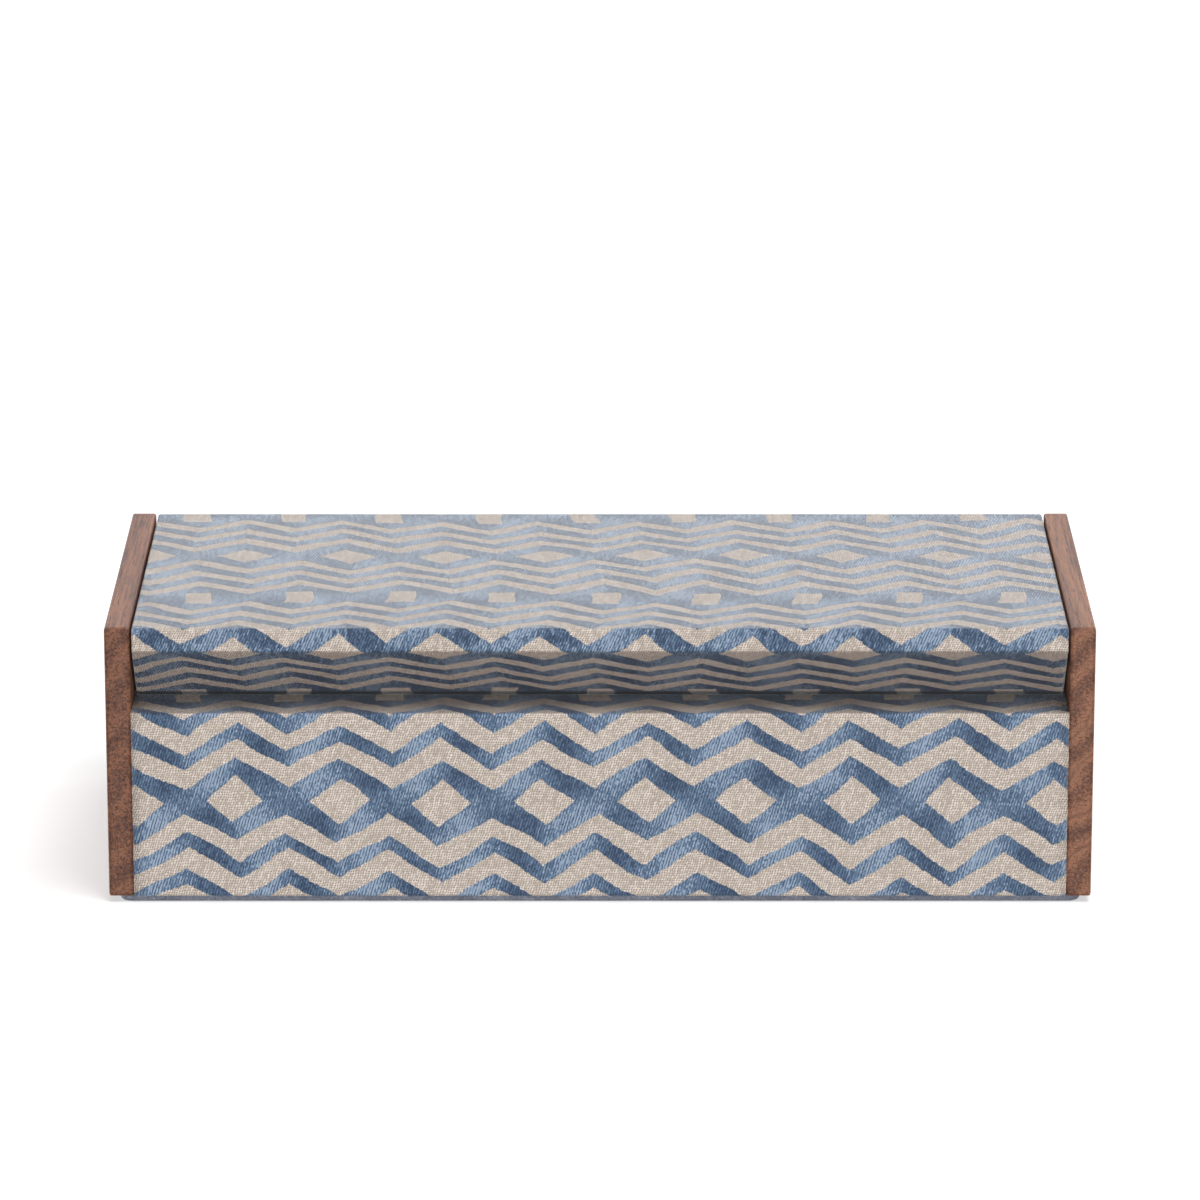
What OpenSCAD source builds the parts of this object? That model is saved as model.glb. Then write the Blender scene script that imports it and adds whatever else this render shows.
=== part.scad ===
// Domino storage box: a cloth-covered case whose bevelled lid turns on two hidden pins
// between walnut end panels. Millimetres, +Z up, +X along the box, the front faces -Y.
// The origin lies under the middle of the box, on the surface that the box stands on.

/* [Box] */
// Length over both end panels
box_l = 235; // [190:1:300]
// Depth from front to back
box_d = 102.8; // [94:0.2:140]
// Height of the end panels
panel_h = 67; // [62:0.5:80]
// Thickness of an end panel
panel_t = 6; // [5:0.5:12]
// Radius that eases every edge of an end panel
panel_ease = 0.9; // [0.3:0.1:2]

/* [Case] */
// Height of the covered case, up to the ledge that the lid lies on
case_h = 45.8; // [30:0.2:50]
// Width of the band where the lid laps over the front or back wall
lid_lap = 4.2; // [3:0.2:12]
// Thickness of the boards that close the ends of the well
end_board_t = 9; // [5:0.5:20]
// Thickness of the base board
base_t = 6; // [3:0.5:12]
// Thickness of the lining on the floor and walls of the well
lining_t = 1; // [0.6:0.1:3]

/* [Lid] */
// Drop from the top edges of the end panels to the top of the lid
lid_drop = 0.2; // [0:0.1:2]
// Height of the upright band along the front and back edges of the lid
band_h = 5.6; // [2:0.2:8]
// How far the bevel under that band runs in, which is the depth of the finger groove
groove_d = 15.4; // [12:0.2:20]
// Gap between the lid and each end panel
lid_gap = 0.5; // [0.3:0.1:2]
// Gap between the lining under the lid and the lined walls of the well
lining_gap = 1; // [0.5:0.1:4]

/* [Cloth and felt] */
// Thickness of the cover cloth
cloth_t = 0.6; // [0.3:0.1:1.2]
// Radius on the edges of the boards that the cloth is drawn over
edge_r = 0.4; // [0.2:0.1:2]
// Width of cloth turned under the case and glued
turn_w = 12; // [6:1:18]
// Gap left between a turned edge and the lining inside it
seam_gap = 0.2; // [0.1:0.1:1]
// Thickness of the felt under the box
felt_t = 1.5; // [0.8:0.1:4]
// Distance from the front and back faces to the edge of the felt
felt_in_d = 1; // [0:0.5:4]
// Distance from the outer faces of the end panels to the edge of the felt
felt_in_l = 2.5; // [0:0.5:6]
// Corner radius of the felt
felt_r = 3; // [1:0.5:10]

/* [Pivots] */
// Opening angle at which the back edge of the lid lands on the ledge, in degrees
stop_angle = 110; // [100:1:120]
// Distance from the back face to the pivot
pivot_back = 10.5; // [9:0.5:12]
// Diameter of a pivot pin
pin_d = 3; // [2:0.1:4]
// Radial clearance of the pin in its bush
pin_fit = 0.05; // [0.02:0.01:0.1]
// Wall of a bush
bush_wall = 1.45; // [0.6:0.05:1.8]
// Length of pin inside the lid
pin_in_lid = 11; // [6:0.5:16]
// Room left past the end of a pin in its bush
pin_end_gap = 1; // [0.5:0.5:3]
// Wood left between the end of a pin and the outer face of its panel
pin_skin = 2; // [1:0.5:4]
// Ring width of the washer that keeps the lid off a panel
washer_ring = 2.4; // [1:0.1:4]
// Play between a washer and the lid
washer_play = 0.1; // [0.05:0.05:0.2]

/* [Dowels] */
// Diameter of a dowel
dowel_d = 4; // [3:0.5:8]
// Glue clearance round a dowel
dowel_fit = 0.03; // [0.02:0.01:0.1]
// Length of dowel inside a wall board
dowel_in_board = 8; // [5:0.5:14]
// Wood left between the end of a dowel and the outer face of its panel
dowel_skin = 2.5; // [1:0.5:4]
// Room for glue at the blind end of a dowel hole
dowel_end_gap = 0.5; // [0.2:0.1:1]
// Distance from a dowel to the top or bottom of the case
dowel_edge = 11; // [7:0.5:14]

/* [Hidden] */
$fn = 64;
arc_steps = 8;
cut = 0.1; // what a cutter passes beyond the face that it opens
pin_tip = 0.4; // chamfer at the ends of pins and dowels

half_d = box_d / 2;
case_l = box_l - 2 * panel_t;
well_l = case_l - 2 * end_board_t;
wall_d = groove_d + lid_lap; // a covered wall, from its outer face to the well
well_d = box_d - 2 * wall_d;

board_low = felt_t + cloth_t;
ledge_z = felt_t + case_h;
board_top = ledge_z - cloth_t;
floor_z = board_low + base_t;

lid_l = case_l - 2 * lid_gap;
lid_t = panel_h - lid_drop - case_h;
lid_z = ledge_z + lid_t;
lid_low = ledge_z + cloth_t;
lid_lining_l = well_l - 2 * lining_t - 2 * lining_gap;
lid_lining_d = well_d - 2 * lining_t - 2 * lining_gap;

// The covered back edge of the lid is an arc of radius lid_r. The pivot lies at the height
// where that arc touches the ledge when the lid has turned through the stop angle.
lid_r = edge_r + cloth_t;
pivot_down = (lid_t - lid_r * (1 + cos(stop_angle)) - (pivot_back - lid_r) * sin(stop_angle))
    / (1 - cos(stop_angle));
pivot_y = half_d - pivot_back;
pivot_z = lid_z - pivot_down;

pin_in_panel = panel_t - pin_skin;
bush_d = pin_d + 2 * pin_fit + 2 * bush_wall;
bush_l = pin_in_lid + pin_end_gap;
washer_t = lid_gap - washer_play;
dowel_in_panel = panel_t - dowel_skin - dowel_end_gap;

walnut = "#7a5140";
pulpboard = "#b79a73";
cloth_blue = "#5f7fa6";
cloth_sand = "#cdbfae";
felt_blue = "#77809a";
lining_blue = "#4c607f";
brass = "#c2a05a";
beech = "#d8bb8c";

// Outlines are lists of [y, z] corners, seen along the box

function unit(v) = v / norm(v);

function half_angle(p, q, r) = acos(unit(p - q) * unit(r - q)) / 2;

// The point that lies d inside both edges that meet at corner q
function inner_point(p, q, r, d) =
    q + unit(unit(p - q) + unit(r - q)) * d / sin(half_angle(p, q, r));

// The arc of a given radius that replaces corner q
function eased_corner(p, q, r, radius) =
    let (
        centre = inner_point(p, q, r, radius),
        reach = radius / tan(half_angle(p, q, r)),
        first = q + unit(p - q) * reach - centre,
        last = q + unit(r - q) * reach - centre,
        start = atan2(first.y, first.x),
        turn = (atan2(last.y, last.x) - start + 540) % 360 - 180
    )
    [for (i = [0:arc_steps])
        let (a = start + turn * i / arc_steps)
        centre + radius * [cos(a), sin(a)]];

// A convex outline moved in by skin, with eased corners that stay concentric as it moves
function covered_outline(corners, skin) =
    let (
        n = len(corners),
        moved = [for (i = [0:n - 1])
            inner_point(corners[(i + n - 1) % n], corners[i], corners[(i + 1) % n], skin)]
    )
    [for (i = [0:n - 1])
        each eased_corner(moved[(i + n - 1) % n], moved[i], moved[(i + 1) % n], lid_r - skin)];

case_corners = [
    [-half_d, felt_t], [half_d, felt_t], [half_d, ledge_z], [-half_d, ledge_z]
];
lid_corners = [
    [groove_d - half_d, ledge_z], [half_d - groove_d, ledge_z],
    [half_d, lid_z - band_h], [half_d, lid_z],
    [-half_d, lid_z], [-half_d, lid_z - band_h]
];

module case_section(skin) polygon(covered_outline(case_corners, skin));

module lid_section(skin) polygon(covered_outline(lid_corners, skin));

// Sweeps an outline along the box, centred
module along_box(length) {
    rotate([90, 0, 90])
        linear_extrude(length, center = true)
            children();
}

// Turns what stands up along +Z to lie along +X
module lying() rotate([0, 90, 0]) children();

// What is made for the left end serves the right end in the mirror
module right_hand() mirror([1, 0, 0]) children();

// What is made for the front serves the back in the mirror
module back_hand() mirror([0, 1, 0]) children();

module rounded_plate(x, y, z, r) {
    linear_extrude(z, center = true) {
        square([x - 2 * r, y], center = true);
        square([x, y - 2 * r], center = true);
        for (i = [-1, 1], j = [-1, 1])
            translate([i * (x / 2 - r), j * (y / 2 - r)]) circle(r);
    }
}

// A board with all its edges rounded over
module eased_board(x, y, z, r) {
    intersection() {
        rounded_plate(x, y, z, r);
        rotate([90, 0, 0]) rounded_plate(x, z, y, r);
        rotate([0, 90, 0]) rounded_plate(z, y, x, r);
    }
}

// A round rod with chamfered ends, standing on z = 0
module tipped_rod(d, length) {
    translate([0, 0, pin_tip]) cylinder(d = d, h = length - 2 * pin_tip);
    cylinder(d1 = d - 2 * pin_tip, d2 = d, h = pin_tip);
    translate([0, 0, length - pin_tip]) cylinder(d1 = d, d2 = d - 2 * pin_tip, h = pin_tip);
}

// Places children at the four dowel axes of the left end, on the panel's inner face
module at_dowels() {
    for (y = [-1, 1] * (half_d - wall_d / 2), z = [board_low + dowel_edge, board_top - dowel_edge])
        translate([-case_l / 2, y, z]) children();
}

module dowel_holes() {
    depth_in = dowel_in_panel + dowel_end_gap;
    depth_out = dowel_in_board + dowel_end_gap;
    at_dowels()
        translate([-depth_in, 0, 0])
            lying() cylinder(d = dowel_d + 2 * dowel_fit, h = depth_in + depth_out);
}

// End panels

module left_end_panel() {
    color(walnut)
        difference() {
            translate([-box_l / 2 + panel_t / 2, 0, felt_t + panel_h / 2])
                eased_board(panel_t, box_d, panel_h, panel_ease);
            translate([-case_l / 2 - pin_in_panel, pivot_y, pivot_z])
                lying() cylinder(d = pin_d, h = pin_in_panel + cut);
            dowel_holes();
        }
}

module right_end_panel() right_hand() left_end_panel();

// Boards of the case

module front_board() {
    color(pulpboard)
        difference() {
            along_box(case_l)
                intersection() {
                    case_section(cloth_t);
                    translate([-half_d, 0]) square([wall_d, ledge_z]);
                }
            dowel_holes();
            right_hand() dowel_holes();
        }
}

module back_board() back_hand() front_board();

module left_end_board() {
    color(pulpboard)
        translate([-case_l / 2, -well_d / 2, board_low])
            cube([end_board_t, well_d, board_top - board_low]);
}

module right_end_board() right_hand() left_end_board();

module base_board() {
    color(pulpboard)
        translate([-well_l / 2, -well_d / 2, board_low]) cube([well_l, well_d, base_t]);
}

// Dowels between the wall boards and the end panels, four at each end

module left_panel_dowels() {
    color(beech)
        at_dowels()
            translate([-dowel_in_panel, 0, 0])
                lying() tipped_rod(dowel_d, dowel_in_panel + dowel_in_board);
}

module right_panel_dowels() right_hand() left_panel_dowels();

// Cloth on the case: each wall has one length, turned under below and laid over the ledge

module front_cover() {
    color(cloth_blue)
        along_box(case_l)
            difference() {
                intersection() {
                    case_section(0);
                    translate([-half_d, 0]) square([wall_d, ledge_z]);
                }
                case_section(cloth_t);
                translate([turn_w - half_d, 0]) square([wall_d, floor_z]);
            }
}

module back_cover() back_hand() front_cover();

module left_rim_cover() {
    color(cloth_blue)
        translate([-case_l / 2, -well_d / 2, board_top])
            cube([end_board_t, well_d, cloth_t]);
}

module right_rim_cover() right_hand() left_rim_cover();

// Lining of the well: the long walls run through, the short ones stand between them

module front_lining() {
    color(lining_blue)
        translate([-well_l / 2, -well_d / 2, floor_z])
            cube([well_l, lining_t, ledge_z - floor_z]);
}

module back_lining() back_hand() front_lining();

module left_lining() {
    color(lining_blue)
        translate([-well_l / 2, lining_t - well_d / 2, floor_z])
            cube([lining_t, well_d - 2 * lining_t, ledge_z - floor_z]);
}

module right_lining() right_hand() left_lining();

module floor_lining() {
    color(lining_blue)
        translate([lining_t - well_l / 2, lining_t - well_d / 2, floor_z])
            cube([well_l - 2 * lining_t, well_d - 2 * lining_t, lining_t]);
}

module base_felt() {
    color(felt_blue)
        translate([0, 0, felt_t / 2])
            rounded_plate(box_l - 2 * felt_in_l, box_d - 2 * felt_in_d, felt_t, felt_r);
}

// Pivots: a pin fixed in each end panel turns in a bush in the end of the lid

module left_pivot_pin() {
    color(brass)
        translate([-case_l / 2 - pin_in_panel, pivot_y, pivot_z])
            lying() tipped_rod(pin_d, pin_in_panel + lid_gap + pin_in_lid);
}

module right_pivot_pin() right_hand() left_pivot_pin();

module left_washer() {
    color(brass)
        translate([-case_l / 2, pivot_y, pivot_z])
            lying() difference() {
                cylinder(d = pin_d + 2 * pin_fit + 2 * washer_ring, h = washer_t);
                translate([0, 0, -cut]) cylinder(d = pin_d + 2 * pin_fit, h = washer_t + 2 * cut);
            }
}

module right_washer() right_hand() left_washer();

module left_bush() {
    color(brass)
        translate([-lid_l / 2, pivot_y, pivot_z])
            lying() difference() {
                cylinder(d = bush_d, h = bush_l);
                translate([0, 0, -cut]) cylinder(d = pin_d + 2 * pin_fit, h = bush_l + 2 * cut);
            }
}

module right_bush() right_hand() left_bush();

// The hole for a bush, through the end cover and into the lid board
module bush_hole() {
    translate([-lid_l / 2 - cut, pivot_y, pivot_z]) lying() cylinder(d = bush_d, h = bush_l + cut);
}

// Lid

module lid_board() {
    color(pulpboard)
        difference() {
            along_box(lid_l - 2 * cloth_t) lid_section(cloth_t);
            bush_hole();
            right_hand() bush_hole();
        }
}

module lid_cover() {
    color(cloth_sand)
        along_box(lid_l)
            difference() {
                lid_section(0);
                lid_section(cloth_t);
                translate([-lid_lining_d / 2 - seam_gap, ledge_z - cut])
                    square([lid_lining_d + 2 * seam_gap, cloth_t + 2 * cut]);
            }
}

// The end cover closes one end of the lid and turns in under it as far as the lining
module left_lid_end_cover() {
    window = lid_lining_d + 2 * seam_gap;
    turned = (lid_l - lid_lining_l) / 2 - seam_gap;
    color(cloth_sand)
        difference() {
            union() {
                translate([-(lid_l - cloth_t) / 2, 0, 0])
                    along_box(cloth_t) {
                        lid_section(cloth_t);
                        translate([-window / 2, ledge_z]) square([window, lid_t / 2]);
                    }
                translate([-lid_l / 2, -window / 2, ledge_z]) cube([turned, window, cloth_t]);
            }
            bush_hole();
        }
}

module right_lid_end_cover() right_hand() left_lid_end_cover();

module lid_lining() {
    color(lining_blue)
        translate([-lid_lining_l / 2, -lid_lining_d / 2, lid_low - lining_t])
            cube([lid_lining_l, lid_lining_d, lining_t]);
}

left_end_panel();
right_end_panel();
front_board();
back_board();
left_end_board();
right_end_board();
base_board();
left_panel_dowels();
right_panel_dowels();
front_cover();
back_cover();
left_rim_cover();
right_rim_cover();
front_lining();
back_lining();
left_lining();
right_lining();
floor_lining();
base_felt();
left_pivot_pin();
right_pivot_pin();
left_washer();
right_washer();
lid_board();
lid_cover();
left_lid_end_cover();
right_lid_end_cover();
lid_lining();
left_bush();
right_bush();
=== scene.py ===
import math

import bmesh
import bpy
from mathutils import Matrix, Vector, noise


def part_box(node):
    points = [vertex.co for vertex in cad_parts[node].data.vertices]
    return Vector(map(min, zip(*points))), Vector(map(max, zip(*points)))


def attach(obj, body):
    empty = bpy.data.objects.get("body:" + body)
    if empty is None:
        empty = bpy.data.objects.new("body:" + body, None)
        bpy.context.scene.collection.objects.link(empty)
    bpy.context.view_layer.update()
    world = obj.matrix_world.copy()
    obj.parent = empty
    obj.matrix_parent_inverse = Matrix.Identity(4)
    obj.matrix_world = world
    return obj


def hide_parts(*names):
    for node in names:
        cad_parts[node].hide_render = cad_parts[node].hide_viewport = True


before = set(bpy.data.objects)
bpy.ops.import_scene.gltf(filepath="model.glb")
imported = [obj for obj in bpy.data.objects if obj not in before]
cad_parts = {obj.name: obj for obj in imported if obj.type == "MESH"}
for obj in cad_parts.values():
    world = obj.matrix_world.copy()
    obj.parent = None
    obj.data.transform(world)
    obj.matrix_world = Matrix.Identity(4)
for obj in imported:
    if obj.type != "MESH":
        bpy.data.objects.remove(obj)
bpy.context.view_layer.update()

# ---------------------------------------------------------------- end panels
# The two ends of the box are 6 mm boards of solid walnut with the grain running front to back.
# Their edges are eased by hand and the wood is oiled, so it stays matt and the pores stay open.


def put(tree, kind, values=(), **settings):
    """Adds a shader node; its inputs take numbers, colours or other nodes' outputs."""
    made = tree.nodes.new("ShaderNode" + kind)
    for name, value in settings.items():
        setattr(made, name, value)
    for key, value in dict(values).items():
        if isinstance(value, bpy.types.NodeSocket):
            tree.links.new(value, made.inputs[key])
        else:
            made.inputs[key].default_value = value
    return made


def calc(tree, operation, *values):
    """One step of arithmetic on numbers or outputs."""
    return put(tree, "Math", enumerate(values), operation=operation).outputs[0]


def tint(tree, amount, first, second, how="MIX"):
    """Mixes two colours by an amount."""
    values = {0: amount, 6: first, 7: second}
    return put(tree, "Mix", values, data_type="RGBA", blend_type=how).outputs[2]


def ease(tree, value, low, high, start=0.0, end=1.0):
    """A soft step from start to end while the value goes from low to high."""
    steps = enumerate((value, low, high, start, end))
    return put(tree, "MapRange", steps, interpolation_type="SMOOTHSTEP").outputs[0]


def cloud(tree, place, scale, detail=2.0, roughness=0.5, out="Fac"):
    """Soft noise at a place."""
    values = {"Vector": place, "Scale": scale, "Detail": detail, "Roughness": roughness}
    return put(tree, "TexNoise", values).outputs[out]


def stretch(tree, place, factors, shift=(0, 0, 0)):
    """A place with each axis scaled, and then moved."""
    values = {0: place, 1: factors, 2: shift}
    return put(tree, "VectorMath", values, operation="MULTIPLY_ADD").outputs[0]


def dye(red, green, blue):
    """A colour mixed on the usual scale of 0 to 255, as the shader wants it."""
    return (*(((level / 255 + 0.055) / 1.055) ** 2.4 for level in (red, green, blue)), 1.0)


def new_group(name, inputs, outputs):
    """An empty node group with named sockets: its tree, what it is given and what it puts out."""
    tree = bpy.data.node_groups.new(name, "ShaderNodeTree")
    for socket, kind in inputs:
        tree.interface.new_socket(name=socket, in_out="INPUT", socket_type="NodeSocket" + kind)
    for socket, kind in outputs:
        tree.interface.new_socket(name=socket, in_out="OUTPUT", socket_type="NodeSocket" + kind)
    return tree, tree.nodes.new("NodeGroupInput").outputs, tree.nodes.new("NodeGroupOutput").inputs


def new_material(name):
    """A material with its Principled shader: the material, its tree and the shader."""
    made = bpy.data.materials.new(name)
    made.use_nodes = True
    return made, made.node_tree, made.node_tree.nodes["Principled BSDF"]


def raise_surface(tree, shader, height, depth):
    """Feeds a height through a Bump node to the shader's normal; depth is in metres."""
    bump = put(tree, "Bump", {"Height": height, "Distance": depth})
    tree.links.new(bump.outputs[0], shader.inputs["Normal"])


def wood_grain():
    """Solid wood with its grain along Y: colour, roughness and height of the pores."""
    tree, given, wanted = new_group(
        "wood_grain",
        [("Vector", "Vector"), ("Rings", "Float"), ("Light", "Color"), ("Dark", "Color"),
         ("Streak", "Color"), ("Oiled", "Float")],
        [("Color", "Color"), ("Roughness", "Float"), ("Height", "Float")],
    )
    place = given["Vector"]
    drift = cloud(tree, stretch(tree, place, (30, 6, 30)), 1.0, 2, out="Color")
    bent = stretch(tree, drift, (0.012, 0.012, 0.012), place)
    sawn = {"Vector": bent, "Rotation": (0, math.radians(-42), 0), "Scale": (1, 0.12, 1)}
    ring_values = {"Vector": put(tree, "Mapping", sawn).outputs[0], "Scale": 42.0,
                   "Distortion": 4.0, "Detail": 4.0, "Detail Scale": 1.8}
    rings = put(tree, "TexWave", ring_values, wave_type="BANDS", bands_direction="X").outputs["Fac"]
    patches = cloud(tree, stretch(tree, bent, (90, 9, 90)), 1.0, 3)
    fibres = cloud(tree, stretch(tree, place, (1500, 45, 1500)), 1.0, 4, 0.8)
    specks = cloud(tree, stretch(tree, place, (2600, 110, 2600)), 1.0, 2, 0.7)
    pores = ease(tree, specks, 0.58, 0.68)

    # light and dark wood by ring, by patch and by fibre, and then the dark latewood lines and the pores
    ringed = calc(tree, "MULTIPLY", calc(tree, "SUBTRACT", rings, 0.5), given["Rings"])
    body = calc(tree, "ADD", calc(tree, "ADD", ringed, 0.33), calc(tree, "MULTIPLY", patches, 0.45))
    fibrous = calc(tree, "MULTIPLY", calc(tree, "SUBTRACT", fibres, 0.5), 2.2)
    body = calc(tree, "ADD", body, fibrous)
    colour = tint(tree, ease(tree, body, 0.20, 0.90), given["Dark"], given["Light"])
    latewood = calc(tree, "MULTIPLY", ease(tree, rings, 0.95, 1.0), ease(tree, patches, 0.42, 0.58))
    latewood = calc(tree, "MULTIPLY", latewood, given["Rings"])
    colour = tint(tree, latewood, colour, given["Streak"])
    colour = tint(tree, calc(tree, "MULTIPLY", pores, 0.75), colour, given["Streak"])
    soaked = tint(tree, 1.0, colour, (0.5, 0.47, 0.45, 1.0), "MULTIPLY")
    tree.links.new(tint(tree, given["Oiled"], colour, soaked), wanted["Color"])
    gloss = calc(tree, "ADD", 0.48, calc(tree, "MULTIPLY", fibres, 0.22))
    tree.links.new(gloss, wanted["Roughness"])
    height = calc(tree, "SUBTRACT", calc(tree, "MULTIPLY", fibres, 0.35), pores)
    tree.links.new(height, wanted["Height"])
    return tree


grain = wood_grain()


def finish_wood(name, rings, light, dark, streak, pore_depth, cut_from, oil_in_ends):
    """An oiled or raw wood. Each board is cut from another place in the log, so no two are alike.
    The end grain, on the faces that look along Y, takes up more oil and is darker."""
    made, tree, shader = new_material(name)
    texture = put(tree, "TexCoord").outputs
    place = put(tree, "Mapping", {"Vector": texture["Object"], "Location": cut_from}).outputs[0]
    facing = calc(tree, "ABSOLUTE", put(tree, "SeparateXYZ", {0: texture["Normal"]}).outputs[1])
    wood = put(tree, "Group", {
        "Vector": place, "Rings": rings, "Light": light, "Dark": dark, "Streak": streak,
        "Oiled": ease(tree, facing, 0.4, 0.9, 0.0, oil_in_ends)}, node_tree=grain).outputs
    tree.links.new(wood["Color"], shader.inputs["Base Color"])
    tree.links.new(wood["Roughness"], shader.inputs["Roughness"])
    shader.inputs["Specular IOR Level"].default_value = 0.35
    raise_surface(tree, shader, wood["Height"], pore_depth)
    return made


def dress(node, material):
    """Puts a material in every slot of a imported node."""
    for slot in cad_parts[node].material_slots:
        slot.material = material


walnut_pores = 0.00012
dress("left_end_panel", finish_wood(
    "walnut_left", rings=0.25, light=dye(162, 109, 82), dark=dye(78, 43, 32), streak=dye(52, 30, 23),
    pore_depth=walnut_pores, cut_from=(0, 0, 0), oil_in_ends=0.62))
dress("right_end_panel", finish_wood(
    "walnut_right", rings=0.4, light=dye(166, 115, 88), dark=dye(88, 54, 41), streak=dye(54, 32, 25),
    pore_depth=walnut_pores, cut_from=(0.31, 0.07, 0.12), oil_in_ends=0.35))

# ---------------------------------------------------------------- boards
# Under the cloth the case and the lid are fibreboard: four walls and a base board, glued up square,
# and one bevelled board for the lid. The sanded board is a warm buff with fine dark fibres.


def finish_fibreboard():
    """Sanded fibreboard: pressed fibres and small dark flecks."""
    made, tree, shader = new_material("fibreboard")
    place = put(tree, "TexCoord").outputs["Object"]
    fibres = cloud(tree, stretch(tree, place, (900, 900, 300)), 1.0, 3, 0.65)
    flecks = ease(tree, cloud(tree, place, 1400.0, 2, 0.7), 0.58, 0.70)
    colour = tint(tree, ease(tree, fibres, 0.3, 0.7), dye(150, 118, 84), dye(184, 152, 114))
    colour = tint(tree, calc(tree, "MULTIPLY", flecks, 0.5), colour, dye(104, 76, 52))
    tree.links.new(colour, shader.inputs["Base Color"])
    shader.inputs["Roughness"].default_value = 0.86
    raise_surface(tree, shader, fibres, 0.00006)
    return made


fibreboard = finish_fibreboard()
for place in ("front", "back", "left_end", "right_end", "base", "lid"):
    dress(f"{place}_board", fibreboard)

# ---------------------------------------------------------------- dowels
# Beech dowels pin each walnut panel to the boards of the case; they are glued in blind holes.

beech = finish_wood(
    "beech", rings=0.3, light=dye(214, 184, 146), dark=dye(190, 156, 118), streak=dye(150, 112, 78),
    pore_depth=0.00005, cut_from=(0.5, 0, 0.2), oil_in_ends=0.2)
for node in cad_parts:
    if node.endswith("panel_dowels"):
        dress(node, beech)

# ---------------------------------------------------------------- case cloth
# The case is covered in a woven cotton: blue pattern threads floated over an oatmeal ground, in
# zigzags, diamonds and squares. Each long wall has one strip, glued up its face, over the crease and
# across the ledge, with its lower edge turned under the base.


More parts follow.
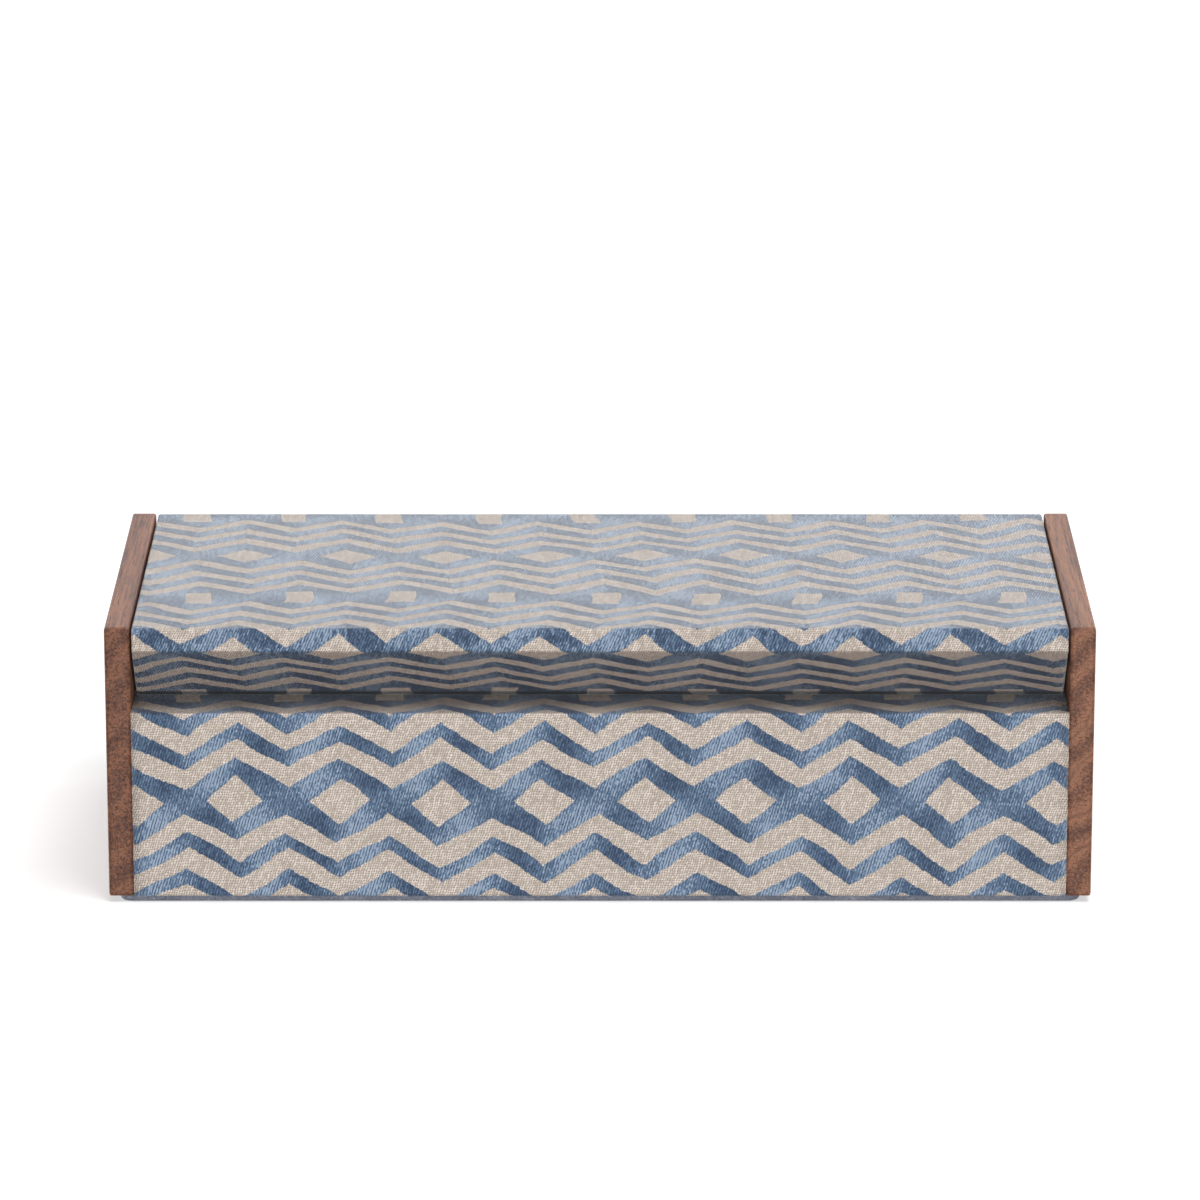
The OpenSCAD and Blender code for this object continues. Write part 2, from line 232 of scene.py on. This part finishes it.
def thread_pattern():
    """The woven cloth at a place in metres, U along the rows of the pattern and V down it."""
    tree, given, wanted = new_group(
        "thread_pattern",
        [("Vector", "Vector"), ("Zigzag", "Float"), ("Ribbon", "Float"), ("Seed", "Float"),
         ("Flecks", "Float")],
        [("Color", "Color"), ("Roughness", "Float"), ("Height", "Float")],
    )
    # sizes in mm: one diamond to the next, along and down; the middle one of three zigzags, and the
    # next one to it; a diamond's and a square's half width and half height
    repeat_u, repeat_v = 24.4, 72.8
    middle, spacing = 18.2, 8.9
    diamond_u, diamond_v = 7.1, 5.7
    square_u, square_v = 3.25, 4.9
    # a blue thread's width and its length between two crossings, how far a thread leans for each mm
    # that it rises, one crossing of the oatmeal ground, and a fleck in the spun yarn
    thread, stitch = 0.69, 0.62
    slant = 0.30
    pick = 0.60
    fleck_u, fleck_v = 0.50, 2.0

    def plus(first, second):
        return calc(tree, "ADD", first, second)

    def minus(first, second):
        return calc(tree, "SUBTRACT", first, second)

    def times(first, second):
        return calc(tree, "MULTIPLY", first, second)

    def step(value, length):
        """The number of whole lengths in a value."""
        return calc(tree, "FLOOR", calc(tree, "DIVIDE", value, length))

    def at(first, second):
        """A place on the cloth, on a plane of its own for each seed."""
        return put(tree, "CombineXYZ", {0: first, 1: second, 2: given["Seed"]}).outputs[0]

    def split(colour):
        """The three separate values of a noise or a vector."""
        return put(tree, "SeparateXYZ", {0: colour}).outputs

    def chance(first, second):
        """A thread's or a stitch's own chance, from 0 to 1."""
        return put(tree, "TexWhiteNoise", {"Vector": at(first, second)}).outputs["Value"]

    def vary(value, luck, by):
        """A value moved by up to half of an amount either way."""
        return plus(value, times(minus(luck, 0.5), by))

    flat = put(tree, "VectorMath", {0: given["Vector"], 3: 1000.0}, operation="SCALE").outputs[0]
    u, v, _ = split(flat)
    across = plus(u, times(v, slant))
    along = minus(v, times(u, slant))

    # the weaver's unevenness: a slow drift, a quicker wobble, and each thread's own end
    seeded = at(u, v)
    bow = cloud(tree, stretch(tree, seeded, (0.013, 0.020, 1), (3.0, 8.0, 0)), 1.0, 1)
    drift = split(cloud(tree, stretch(tree, seeded, (0.034, 0.055, 1)), 1.0, 1, out="Color"))
    wobble = split(cloud(tree, stretch(tree, seeded, (0.17, 0.22, 1)), 1.0, 2, out="Color"))
    thread_luck = chance(step(across, thread), step(along, 5.0))
    woven_u = vary(vary(u, drift[0], 5.5), wobble[0], 1.1)
    woven_v = vary(vary(vary(v, bow, 7.0), drift[1], 3.5), wobble[1], 1.0)
    woven_v = vary(woven_v, thread_luck, 0.34)

    # folded coordinates: how far to the nearest diamond's middle, along and down
    aside = calc(tree, "PINGPONG", woven_u, repeat_u / 2)
    beyond = calc(tree, "PINGPONG", woven_v, repeat_v / 2)
    saw = minus(1.0, times(aside, 4 / repeat_u))
    level = minus(minus(beyond, times(saw, given["Zigzag"])), middle)

    # three oatmeal zigzags, a diamond where four blue ribbons meet, and a square half a repeat away
    width = vary(given["Ribbon"], drift[2], 1.3)
    from_line = minus(calc(tree, "PINGPONG", level, spacing / 2), width)
    outside = minus(calc(tree, "ABSOLUTE", level), spacing * 1.45)
    line = calc(tree, "MAXIMUM", from_line, outside)
    diamond = plus(calc(tree, "DIVIDE", aside, diamond_u), calc(tree, "DIVIDE", beyond, diamond_v))
    diamond = times(minus(diamond, 1.0), 4.4)
    from_square_u = minus(minus(repeat_u / 2, aside), square_u)
    from_square_v = minus(minus(repeat_v / 2, beyond), square_v)
    square = calc(tree, "MAXIMUM", from_square_u, from_square_v)
    bare = calc(tree, "MINIMUM", line, calc(tree, "MINIMUM", diamond, square))
    blue = ease(tree, bare, -0.12, 0.12)

    # the blue threads: dyed in pools, light where a ribbon rises to the right, dark where it falls
    turn = calc(tree, "SINE", times(woven_u, math.tau / repeat_u))
    half = calc(tree, "SINE", times(woven_v, math.tau / repeat_v))
    side = calc(tree, "MINIMUM", 1.0, calc(tree, "MAXIMUM", -1.0, times(half, 3.0)))
    streaks = cloud(tree, at(times(across, 1.5), times(along, 0.5)), 1.0, 2, 0.6)
    pools = cloud(tree, stretch(tree, seeded, (0.12, 0.12, 1), (7, 3, 0)), 1.0, 1)
    ply = step(across, thread / 2)
    along_thread = plus(calc(tree, "DIVIDE", along, stitch), times(thread_luck, 7.0))
    stitch_luck = chance(plus(ply, 0.25), calc(tree, "FLOOR", along_thread))
    hatch_luck = chance(plus(ply, 0.75), step(along_thread, 2.6))
    fleck_row = calc(tree, "FLOOR", plus(calc(tree, "DIVIDE", v, fleck_v), thread_luck))
    flecks = times(given["Flecks"], minus(chance(step(u, fleck_u), fleck_row), 0.5))
    tone = vary(vary(times(times(turn, side), 0.85), pools, 1.7), streaks, 0.4)
    tone = plus(vary(vary(tone, stitch_luck, 1.4), hatch_luck, 0.9), flecks)
    dyed = tint(tree, ease(tree, tone, -1.5, 0.08), dye(52, 70, 96), dye(98, 122, 150))
    dyed = tint(tree, ease(tree, tone, 0.08, 0.80), dyed, dye(156, 174, 197))
    rib = calc(tree, "PINGPONG", across, thread / 2)
    gap = times(ease(tree, rib, 0.02, 0.21, 0.95, 0.0), ease(tree, hatch_luck, 0.10, 0.60))
    dyed = tint(tree, gap, dyed, dye(44, 60, 84))

    # the oatmeal ground: a plain weave with slubs, and a dark eye where four crossings meet
    uneven = split(cloud(tree, stretch(tree, seeded, (0.45, 0.45, 1)), 1.0, 2, out="Color"))
    warp_end = calc(tree, "DIVIDE", vary(across, uneven[0], 1.0), pick)
    weft_end = calc(tree, "DIVIDE", vary(v, uneven[1], 1.0), pick)
    warp_number = calc(tree, "FLOOR", warp_end)
    over = chance(warp_number, calc(tree, "FLOOR", weft_end))
    warp_luck = chance(warp_number, step(weft_end, 2.5))
    warp = calc(tree, "ABSOLUTE", calc(tree, "SINE", times(warp_end, math.pi)))
    weft = calc(tree, "ABSOLUTE", calc(tree, "SINE", times(weft_end, math.pi)))
    eyes = times(times(minus(1.0, warp), minus(1.0, weft)), plus(0.6, times(over, 0.8)))
    slubs = cloud(tree, at(times(across, 2.2), times(along, 0.12)), 1.0, 2)
    body = times(plus(warp, times(weft, 0.5)), 0.4)
    body = plus(vary(vary(vary(body, over, 0.5), warp_luck, 0.2), slubs, 0.25), times(flecks, 0.25))
    oatmeal = tint(tree, ease(tree, body, 0.0, 0.9), dye(180, 166, 154), dye(232, 220, 210))
    oatmeal = tint(tree, ease(tree, eyes, 0.18, 0.60, 0.0, 0.9), oatmeal, dye(104, 88, 78))

    tree.links.new(tint(tree, blue, oatmeal, dyed), wanted["Color"])
    tree.links.new(plus(0.50, times(blue, -0.07)), wanted["Roughness"])
    ground_height = times(times(warp, weft), 0.5)
    float_height = plus(times(ease(tree, rib, 0.0, 0.2), 0.5), 0.45)
    relief = put(tree, "Mix", {0: blue, 2: ground_height, 3: float_height}).outputs[0]
    tree.links.new(relief, wanted["Height"])
    return tree


weave = thread_pattern()
weave_depth = 0.00016


def finish_cloth(name, zigzag, ribbon, seed, flecks=0.0, painted_shade_band=None):
    """The woven cloth on a piece's own UV map. Zigzag and ribbon are half heights in mm, and a seed
    gives each piece its own unevenness. A band, where given, is the lowest and highest place of
    painted shade: the cloth there is darkened, most at the bottom, with a painted shadow line low down."""
    made, tree, shader = new_material(name)
    flat = put(tree, "UVMap", uv_map="flat").outputs[0]
    woven = put(tree, "Group", {
        "Vector": flat, "Zigzag": zigzag, "Ribbon": ribbon, "Seed": seed, "Flecks": flecks},
        node_tree=weave).outputs
    colour = woven["Color"]
    # painted shade: inside the band the cloth is darkened and made more saturated, most at the bottom,
    # fading out above the band with a ragged edge
    if painted_shade_band:
        lowest, highest = painted_shade_band
        place = put(tree, "TexCoord").outputs["Object"]
        height = put(tree, "SeparateXYZ", {0: place}).outputs[2]
        ragged = calc(tree, "MULTIPLY", cloud(tree, place, 160.0, 3), 0.0008)
        ragged = calc(tree, "ADD", height, ragged)
        above = ease(tree, height, lowest + 0.00003, lowest + 0.00012)
        below = ease(tree, ragged, highest - 0.0002, highest + 0.0010, 1.0, 0.0)
        bevel_shade_mask = calc(tree, "MULTIPLY", above, below)
        bevel_shade_mask = calc(tree, "MULTIPLY", bevel_shade_mask, ease(tree, height, lowest, highest, 1.0, 0.78))
        shade_saturated = put(tree, "HueSaturation", {"Saturation": 1.25, "Color": colour}).outputs[0]
        shade_darkened = tint(tree, 1.0, shade_saturated, (0.53, 0.475, 0.44, 1.0), "MULTIPLY")
        painted_bevel_shade = tint(tree, 0.15, shade_darkened, (0.115, 0.093, 0.080, 1.0))
        colour = tint(tree, bevel_shade_mask, colour, painted_bevel_shade)
        # painted shadow: a near-black line from about 0.1 mm to 1 mm above the band's lowest place,
        # fading out by 1.6 mm, stands in for the shadow under the lid's lower edge
        painted_edge_shadow = ease(tree, height, lowest + 0.0010, lowest + 0.0016, 0.98, 0.0)
        painted_edge_shadow = calc(tree, "MULTIPLY", above, painted_edge_shadow)
        colour = tint(tree, painted_edge_shadow, colour, (0.012, 0.012, 0.014, 1.0))
    tree.links.new(colour, shader.inputs["Base Color"])
    tree.links.new(woven["Roughness"], shader.inputs["Roughness"])
    shader.inputs["Specular IOR Level"].default_value = 0.2
    shader.inputs["Sheen Weight"].default_value = 0.3
    shader.inputs["Sheen Roughness"].default_value = 0.4
    raise_surface(tree, shader, woven["Height"], weave_depth)
    return made


def lay_cloth(span, start, heading, stretches, creases, radius):
    """Lays a strip of cloth over the edges of a board, from its first cut edge to its last.
    Each stretch is measured from corner to corner, and each crease turns it by an angle about X.
    Gives the sheet, and how much cloth lies between the first edge and each of its points."""
    columns, quad, bends = 64, 0.0028, 7
    verge = 0.0002                              # a narrow row each side of a bend keeps it crisp
    sheet = bmesh.new()
    first, last = span
    row = [sheet.verts.new((first + (last - first) * i / columns, *start)) for i in range(columns + 1)]
    lead = [sheet.edges.new(pair) for pair in zip(row, row[1:])]
    walk, before = [], 0.0
    for stretch_length, crease in zip(stretches, creases + [0.0]):
        stretch_length -= radius * (math.tan(abs(before) / 2) + math.tan(abs(crease) / 2))
        quads = math.ceil(stretch_length / quad)
        between = (stretch_length - 2 * verge) / quads
        walk += [(before / bends / 2, verge)] + [(0.0, between)] * quads + [(0.0, verge)]
        chord = 2 * radius * math.sin(abs(crease) / bends / 2)
        if crease:
            walk += [(crease / bends / 2, chord)] + [(crease / bends, chord)] * (bends - 1)
        before = crease
    way = Vector((0, *heading)).normalized()
    run, laid = 0.0, {vertex: 0.0 for vertex in row}
    for turn, length in walk:
        way.rotate(Matrix.Rotation(turn, 3, "X"))
        run += length
        lead, fresh = grow(sheet, lead)
        bmesh.ops.translate(sheet, vec=way * length, verts=fresh)
        laid.update((vertex, run) for vertex in fresh)
    return sheet, laid


def grow(sheet, edges):
    """Extrudes a row of edges where it is: the new edges opposite it, and their vertices."""
    grown = bmesh.ops.extrude_edge_only(sheet, edges=edges)["geom"]
    fresh = [part for part in grown if isinstance(part, bmesh.types.BMVert)]
    lead = [part for part in grown
            if isinstance(part, bmesh.types.BMEdge) and set(part.verts) <= set(fresh)]
    return lead, fresh


def map_flat(sheet, place):
    """Gives each corner its place on the flat cloth, as the UV map that the weave reads."""
    layer = sheet.loops.layers.uv.new("flat")
    for face in sheet.faces:
        for corner in face.loops:
            corner[layer].uv = place(corner.vert)


def make_piece(name, sheet, material, inside):
    """Turns a bmesh into a smooth object whose faces point away from a place inside it."""
    sheet.normal_update()
    wrong = [face for face in sheet.faces if face.normal.dot(face.calc_center_median() - inside) < 0]
    if len(wrong) > len(sheet.faces) / 2:
        bmesh.ops.reverse_faces(sheet, faces=sheet.faces)
    made = bpy.data.objects.new(name, bpy.data.meshes.new(name))
    sheet.to_mesh(made.data)
    sheet.free()
    made.data.shade_smooth()
    made.data.materials.append(material)
    bpy.context.scene.collection.objects.link(made)
    return made


def thicken(made, thickness):
    """Gives a sheet its thickness, inwards."""
    solid = made.modifiers.new("thickness", "SOLIDIFY")
    solid.thickness, solid.offset = thickness, -1.0
    return made


low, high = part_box("front_cover")
rim_low, rim_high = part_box("left_rim_cover")
cloth = rim_high.z - rim_low.z                  # the thickness of the cloth
tuck = 0.012                                    # the lower edge, turned under the base
crease_radius = 0.0007
below_crease = 0.0223                           # from the crease down to the row of diamonds
face, ledge = high.z - low.z, high.y - low.y
square_turns = [-math.pi / 2, -math.pi / 2]
inside_case = Vector((0, 0, high.z / 2))
cloths = {}
# each strip was cut at another place along the pattern, and has its own unevenness
for side, slide, seed in (("front", 0.0134, 0.0), ("back", 0.0055, 40.0)):
    sheet, laid = lay_cloth(
        (low.x, high.x), (low.y + tuck, low.z), (-1, 0), [tuck, face, ledge],
        square_turns, crease_radius)
    map_flat(sheet, lambda vertex: (vertex.co.x + slide, tuck + face - below_crease - laid[vertex]))
    if side == "back":
        bmesh.ops.rotate(sheet, matrix=Matrix.Rotation(math.pi, 3, "Z"), verts=sheet.verts)
    cloths[side] = finish_cloth(f"cloth_{side}", zigzag=3.7, ribbon=2.55, seed=seed)
    piece = thicken(make_piece(f"case_cloth_{side}", sheet, cloths[side], inside_case), cloth)
    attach(piece, "case")
    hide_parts(f"{side}_cover")

# ---------------------------------------------------------------- rim cloth
# The tops of the two end boards are covered in the same cloth: one piece slit into two narrow
# strips, cut to fit between the long ones and glued down.

rim_cuts = 9
strips = bmesh.new()
layer = strips.loops.layers.uv.new("flat")
for side in ("left", "right"):
    low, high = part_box(f"{side}_rim_cover")
    corners = [strips.verts.new((x, y, high.z)) for x, y in (
        (low.x, low.y), (high.x, low.y), (high.x, high.y), (low.x, high.y))]
    for corner in strips.faces.new(corners).loops:
        corner[layer].uv = corner.vert.co.y, corner.vert.co.x
bmesh.ops.subdivide_edges(strips, edges=strips.edges[:], cuts=rim_cuts, use_grid_fill=True)
piece = thicken(make_piece("rim_cloth", strips, cloths["back"], Vector((0, 0, 0))), cloth)
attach(piece, "case")
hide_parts("left_rim_cover", "right_rim_cover")

# ---------------------------------------------------------------- linings and base felt
# The well is lined with blue wool felt, five pieces cut to size and glued to the boards and the floor,
# and the box stands on a thicker grey-blue felt with rounded corners that stops short of its edges.


def finish_felt(name, light, dark, fibre):
    """Wool felt: hairs that cross each other, matted in soft patches."""
    made, tree, shader = new_material(name)
    place = put(tree, "TexCoord").outputs["Object"]
    bent = stretch(tree, cloud(tree, place, 500.0, 2, out="Color"), (0.004, 0.004, 0.004), place)
    hairs = cloud(tree, stretch(tree, bent, (1900, 700, 1900)), 1.0, 3, 0.65)
    crossed = cloud(tree, stretch(tree, bent, (600, 2100, 900)), 1.0, 3, 0.65)
    fluff = calc(tree, "MAXIMUM", hairs, crossed)
    patches = calc(tree, "MULTIPLY", cloud(tree, place, 90.0, 2), 0.3)
    tone = calc(tree, "ADD", calc(tree, "MULTIPLY", fluff, 0.8), patches)
    colour = tint(tree, ease(tree, tone, 0.45, 0.80), dark, light)
    colour = tint(tree, ease(tree, fluff, 0.66, 0.74, 0.0, 0.5), colour, fibre)
    tree.links.new(colour, shader.inputs["Base Color"])
    shader.inputs["Roughness"].default_value = 0.95
    shader.inputs["Specular IOR Level"].default_value = 0.2
    shader.inputs["Sheen Weight"].default_value = 0.3
    raise_surface(tree, shader, fluff, 0.0003)
    return made


def cut_felt(name, node, body, material, soft, corner=0.0):
    """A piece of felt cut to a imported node's box, its upright corners rounded where a radius is given,
    its edges softened and its faces a little uneven."""
    low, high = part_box(node)
    size, centre = high - low, (low + high) / 2
    felt = bmesh.new()
    bmesh.ops.create_cube(felt, size=1.0, matrix=Matrix.Translation(centre) @ Matrix.Diagonal((*size, 1)))
    if corner:
        upright = [edge for edge in felt.edges
                   if abs(edge.verts[0].co.z - edge.verts[1].co.z) > size.z / 2]
        bmesh.ops.bevel(felt, geom=upright, offset=corner, offset_type="OFFSET", segments=8,
                        profile=0.5, affect="EDGES", material=-1)
    sharp, cell = 0.6, 0.004                    # softened from this angle up, and cut into this grid
    lump, share = 260, 0.45                     # lumps to the metre, and their share of the soft edge
    rims = [edge for edge in felt.edges if edge.calc_face_angle(0) > sharp]
    bmesh.ops.bevel(felt, geom=rims, offset=soft, offset_type="OFFSET", segments=3,
                    profile=0.5, affect="EDGES", material=-1)
    for axis in sorted(range(3), key=lambda axis: size[axis])[1:]:
        normal = Vector([float(axis == i) for i in range(3)])
        cuts = max(2, round(size[axis] / cell))
        for cut in range(1, cuts):
            bmesh.ops.bisect_plane(felt, geom=felt.verts[:] + felt.edges[:] + felt.faces[:], dist=1e-7,
                                   plane_co=low + normal * size[axis] * cut / cuts, plane_no=normal)
    for vertex in felt.verts:
        pull = abs(noise.noise(vertex.co * lump) * soft * share)
        vertex.co += (centre - vertex.co).normalized() * pull
    piece = make_piece(name, felt, material, centre)
    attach(piece, body)
    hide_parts(node)


lining_edge, foot_edge, foot_corner = 0.0003, 0.0004, 0.003
lining_felt = finish_felt(
    "lining_felt", light=dye(74, 96, 134), dark=dye(44, 60, 92), fibre=dye(120, 140, 172))
for place, carrier in (("floor", "base_board"), ("front", "front_board"), ("back", "back_board"),
                       ("left", "left_end_board"), ("right", "right_end_board")):
    cut_felt(f"{place}_felt", f"{place}_lining", "case", lining_felt, lining_edge)

base_felt = finish_felt(
    "base_felt", light=dye(156, 159, 171), dark=dye(102, 106, 120), fibre=dye(190, 192, 200))
cut_felt("foot_felt", "base_felt", "case", base_felt, foot_edge, foot_corner)

# ---------------------------------------------------------------- hinge
# The lid swings on two turned brass pins, pressed into the panels and running in brass bushes in the
# lid's ends, with a washer between. The brass is drawn rod, left bright and dulled a little in use.


def finish_brass():
    """Turned brass, with fine marks of the tool round it and duller patches."""
    made, tree, shader = new_material("brass")
    place = put(tree, "TexCoord").outputs["Object"]
    marks = cloud(tree, stretch(tree, place, (9000, 900, 900)), 1.0, 2)
    dull = cloud(tree, place, 700.0, 3, 0.6)
    colour = tint(tree, ease(tree, dull, 0.35, 0.7), dye(206, 166, 92), dye(166, 126, 66))
    tree.links.new(colour, shader.inputs["Base Color"])
    tree.links.new(ease(tree, dull, 0.3, 0.7, 0.22, 0.42), shader.inputs["Roughness"])
    shader.inputs["Metallic"].default_value = 1.0
    raise_surface(tree, shader, marks, 0.00001)
    return made


brass = finish_brass()
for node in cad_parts:
    if node.endswith(("_pin", "_washer", "_bush")):
        dress(node, brass)

# ---------------------------------------------------------------- lid cloth
# One strip goes round the lid board from one turned edge underneath to the other, so the zigzags run on
# over the bevels, the narrow front and back bands and the top. Its ends are rolled over the board's.

low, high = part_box("lid_cover")
band = 0.0056                                   # the upright band between the top and each bevel
bevel = high.z - band - low.z
turned_y = 0.030                                # each edge is turned under to this far from the middle
roll = 0.0006
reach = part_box("right_lid_end_cover")[1].x - roll
underside, slope, top = high.y - bevel - turned_y, bevel * math.sqrt(2), high.y - low.y
quarter, eighth = -math.pi / 2, -math.pi / 4
lengths = [underside, slope, band, top, band, slope, underside]
sheet, laid = lay_cloth(
    (-reach, reach), (-turned_y, low.z), (-1, 0), lengths,
    [eighth, eighth, quarter, quarter, eighth, eighth], crease_radius)
inside_lid = (low + high) / 2
sheet.normal_update()
roll_steps = 5
touching = 1e-6                                 # nearer than this is on the edge
inward = {}
for side in (-1, 1):
    rim = [edge for edge in sheet.edges
           if edge.is_boundary and all(abs(end.co.x - side * reach) < touching for end in edge.verts)]
    for step in range(roll_steps):
        start_angle, end_angle = (math.pi / 2 * (step + i) / roll_steps for i in (0, 1))
        rim, fresh = grow(sheet, rim)
        for vertex in fresh:
            others = (edge.other_vert(vertex) for edge in vertex.link_edges)
            behind = next(other for other in others if other not in fresh)
            normal = inward.get(behind) or behind.normal.copy()
            if normal.dot(Vector((0, behind.co.y, behind.co.z - inside_lid.z))) < 0:
                normal.negate()
            inward[vertex] = normal
            laid[vertex] = laid[behind]
            vertex.co.x += side * roll * (math.sin(end_angle) - math.sin(start_angle))
            vertex.co -= normal * roll * (math.cos(start_angle) - math.cos(end_angle))

# The weave has crept as it was glued: it lies true on the top and is drawn together over the front
# bevel. Each row gives a length of cloth from the top's back edge, the place of the pattern there, and
# how far the pattern has slid along the lid.
back_edge = sum(lengths[:4])
creep = [(-0.0600, -0.1002, 0.0160), (0.0038, -0.0364, 0.0160), (0.0397, 0.0, 0.0134),
         (0.0765, 0.0364, 0.0108), (0.1097, 0.0728, 0.0140), (0.1301, 0.1092, 0.0115),
         (0.1410, 0.1290, 0.0115)]


def crept(vertex):
    """A point's place on the flat cloth, between the two rows that it lies between."""
    distance = back_edge - laid[vertex]
    for (near, *start), (far, *end) in zip(creep, creep[1:]):
        if distance <= far:
            break
    place, slide = Vector(start).lerp(Vector(end), (distance - near) / (far - near))
    return vertex.co.x + slide, place


map_flat(sheet, crept)
# painted shade on the lid's downward bevels and the lower part of its end plates, with a painted shadow
# line along the lid's lower edges
lid_finish = finish_cloth(
    "cloth_lid", zigzag=4.1, ribbon=2.15, seed=11.0, flecks=1.5, painted_shade_band=(low.z, low.z + bevel))
piece = thicken(make_piece("lid_cloth", sheet, lid_finish, inside_lid), cloth)
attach(piece, "lid")
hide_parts("lid_cover")

# ---------------------------------------------------------------- lid ends and lid felt
# A plate of the same cloth closes each end of the lid, with a flap turned under the board, and a piece
# of the lining felt covers the underside between the turned edges.

end_low, end_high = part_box("left_lid_end_cover")
tuck_in = end_high.x - end_low.x
half, waist = high.y - roll, high.y - bevel - roll * math.tan(math.pi / 8)
flap_y = turned_y - 0.0003                      # the flap clears the turned edges of the long strip
for side, name in ((-1, "left"), (1, "right")):
    edge_x = side * (reach + roll)
    outline = [(-waist, low.z), (-half, low.z + bevel), (-half, high.z - roll), (half, high.z - roll),
               (half, low.z + bevel), (waist, low.z), (flap_y, low.z), (-flap_y, low.z)]
    plate = bmesh.new()
    plate.faces.new([plate.verts.new((edge_x, y, z)) for y, z in outline])
    bottom = [edge for edge in plate.edges
              if all(abs(abs(end.co.y) - flap_y) < touching for end in edge.verts)]
    _, fresh = grow(plate, bottom)
    bmesh.ops.translate(plate, vec=(-side * tuck_in, 0, 0), verts=fresh)
    fold = [edge for edge in plate.edges if len(edge.link_faces) == 2]
    bmesh.ops.bevel(plate, geom=fold, offset=crease_radius, offset_type="OFFSET", segments=6,
                    profile=0.5, affect="EDGES", material=-1)
    map_flat(plate, lambda vertex: (
        vertex.co.y, high.z - vertex.co.z + abs(edge_x - vertex.co.x)))
    # the end plates carry the same painted shade and painted shadow line on their lower part
    piece = thicken(make_piece(f"lid_end_cloth_{name}", plate, lid_finish, inside_lid), cloth)
    piece.data.shade_flat()
    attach(piece, "lid")
    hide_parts(f"{name}_lid_end_cover")

cut_felt("lid_felt", "lid_lining", "lid", lining_felt, lining_edge)

# ---------------------------------------------------------------- studio
# The box stands on a white floor. The key light hangs high on the right; a low front light, two low
# side lights and two behind keep every side readable, and the floor keeps the soft shadow.


def seen_directly(tree):
    """1 for rays from the camera, or by way of metal, gloss or glass; 0 for light that bounces."""
    rays = put(tree, "LightPath").outputs
    return calc(tree, "MAXIMUM", rays["Is Camera Ray"],
                calc(tree, "MAXIMUM", rays["Is Glossy Ray"], rays["Is Transmission Ray"]))


def finish_floor():
    """Paper that looks white, but throws little light up at the box."""
    made, tree, shader = new_material("floor")
    seen = seen_directly(tree)
    paper = tint(tree, seen, (0.15, 0.15, 0.15, 1), (0.9, 0.9, 0.9, 1))
    tree.links.new(paper, shader.inputs["Base Color"])
    shader.inputs["Roughness"].default_value = 1.0
    shader.inputs["Specular IOR Level"].default_value = 0.0
    shader.inputs["Emission Color"].default_value = (1, 1, 1, 1)
    tree.links.new(calc(tree, "MULTIPLY", seen, 0.46), shader.inputs["Emission Strength"])
    return made


floor_reach = 6.0                               # from the middle to each edge
ground = bmesh.new()
bmesh.ops.create_grid(ground, x_segments=1, y_segments=1, size=floor_reach)
floor = make_piece("floor", ground, finish_floor(), Vector((0, 0, -1)))

world = bpy.data.worlds.new("studio")
bpy.context.scene.world = world
world.use_nodes = True
sky = world.node_tree
background = sky.nodes["Background"].inputs
background["Color"].default_value = (1, 1, 1, 1)
sky.links.new(ease(sky, seen_directly(sky), 0.0, 1.0, 0.03, 1.0), background["Strength"])

lamp_distance, lamp_aim = 2.5, Vector((0, 0, 0.04))


def add_lamp(name, height, aside, size, power):
    """A softbox turned to the box: its height and its turn to the right of the front in degrees,
    its width and height in metres and its power in watts."""
    lamp = bpy.data.lights.new(name, "AREA")
    lamp.shape, lamp.size, lamp.size_y, lamp.energy = "RECTANGLE", *size, power
    made = bpy.data.objects.new(name, lamp)
    height, aside = math.radians(height), math.radians(aside)
    level = math.cos(height)
    away = Vector((level * math.sin(aside), -level * math.cos(aside), math.sin(height)))
    made.location = away * lamp_distance + lamp_aim
    made.rotation_euler = away.to_track_quat("Z", "Y").to_euler()
    bpy.context.scene.collection.objects.link(made)


add_lamp("key", 68, 38, (1.1, 1.1), 29)
add_lamp("front_fill", 4, 0, (0.5, 0.3), 48)
add_lamp("left_fill", 6, -125, (1.0, 0.4), 32)
add_lamp("right_fill", 6, 125, (1.0, 0.4), 32)
add_lamp("back_light", 18, 180, (2.0, 0.5), 12)
add_lamp("top_light", 65, 180, (1.5, 1.0), 10)

# a long lens, 1.6 m away and a little above the box
camera = bpy.data.objects.new("camera", bpy.data.cameras.new("camera"))
camera.data.lens, camera.data.sensor_width = 199.14, 36.0
camera.data.clip_start, camera.data.clip_end = 0.1, 20.0
camera.location = (0.0, -1.5580, 0.5117)
camera.rotation_euler = (math.radians(73.85), 0.0, 0.0)
bpy.context.scene.collection.objects.link(camera)
bpy.context.scene.camera = camera
bpy.context.scene.view_settings.view_transform = "Standard"
